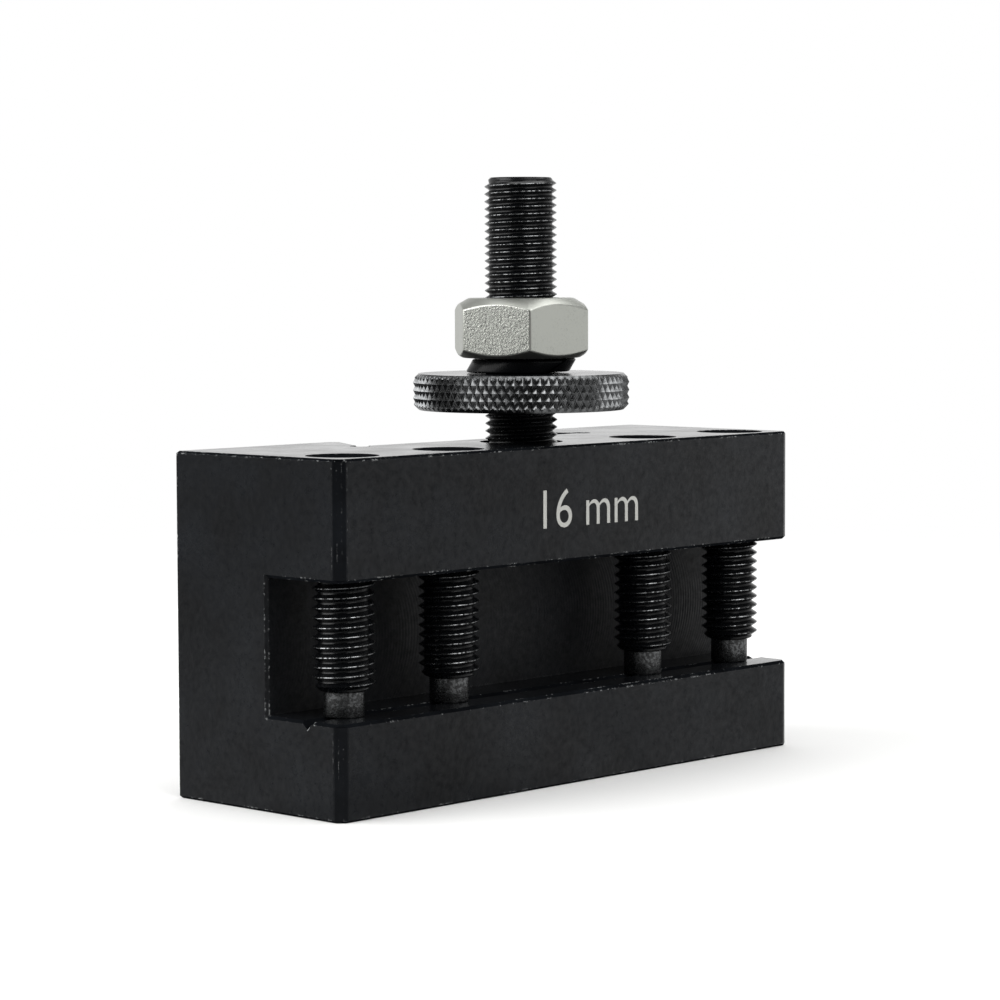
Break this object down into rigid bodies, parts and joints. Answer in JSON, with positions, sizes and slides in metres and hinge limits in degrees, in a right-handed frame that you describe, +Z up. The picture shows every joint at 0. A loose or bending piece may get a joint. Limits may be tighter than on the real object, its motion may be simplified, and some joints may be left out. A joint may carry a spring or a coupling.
{
  "type": "quick change tool holder",
  "caption": "Steel block with a tool slot in front, clamped by dog-point set screws, a dovetail at the back, and a stud with a knurled height nut and a lock nut on top.",
  "frame": {"origin": "middle of the block's underside, on which it stands", "axes": "+X along the block, -Y out of the tool slot's open front, +Y out of the dovetail, +Z up the stud"},
  "size_m": [0.09, 0.0342, 0.0812],
  "materials": {
    "black_oxide_block": "machined steel, black oxide, oiled",
    "black_oxide_fasteners": "alloy steel, black oxide",
    "zinc_plated_nut": "cold-formed steel, zinc plated"
  },
  "bodies": {
    "holder": {"holder_body": "black_oxide_block", "height_stud": "black_oxide_fasteners"},
    "height_nut": {"knurled_nut": "black_oxide_fasteners", "lock_washer": "black_oxide_fasteners"},
    "lock_nut": {"lock_nut": "zinc_plated_nut"},
    "clamp_screw_1": {"clamp_screw_1": "black_oxide_fasteners"},
    "clamp_screw_2": {"clamp_screw_2": "black_oxide_fasteners"},
    "clamp_screw_3": {"clamp_screw_3": "black_oxide_fasteners"},
    "clamp_screw_4": {"clamp_screw_4": "black_oxide_fasteners"}
  },
  "joints": [
    {"name": "height_nut_travel", "type": "slide", "parent": "holder", "child": "height_nut", "axis": [0, 0, 1], "range_m": [-0.004, 0.008]},
    {"name": "lock_nut_travel", "type": "slide", "parent": "height_nut", "child": "lock_nut", "axis": [0, 0, 1], "range_m": [0, 0.007]},
    {"name": "clamp_screw_1_travel", "type": "slide", "parent": "holder", "child": "clamp_screw_1", "axis": [0, 0, 1], "range_m": [0, 0.0175]},
    {"name": "clamp_screw_2_travel", "type": "slide", "parent": "holder", "child": "clamp_screw_2", "axis": [0, 0, 1], "range_m": [0, 0.0175]},
    {"name": "clamp_screw_3_travel", "type": "slide", "parent": "holder", "child": "clamp_screw_3", "axis": [0, 0, 1], "range_m": [0, 0.0175]},
    {"name": "clamp_screw_4_travel", "type": "slide", "parent": "holder", "child": "clamp_screw_4", "axis": [0, 0, 1], "range_m": [0, 0.0175]}
  ]
}
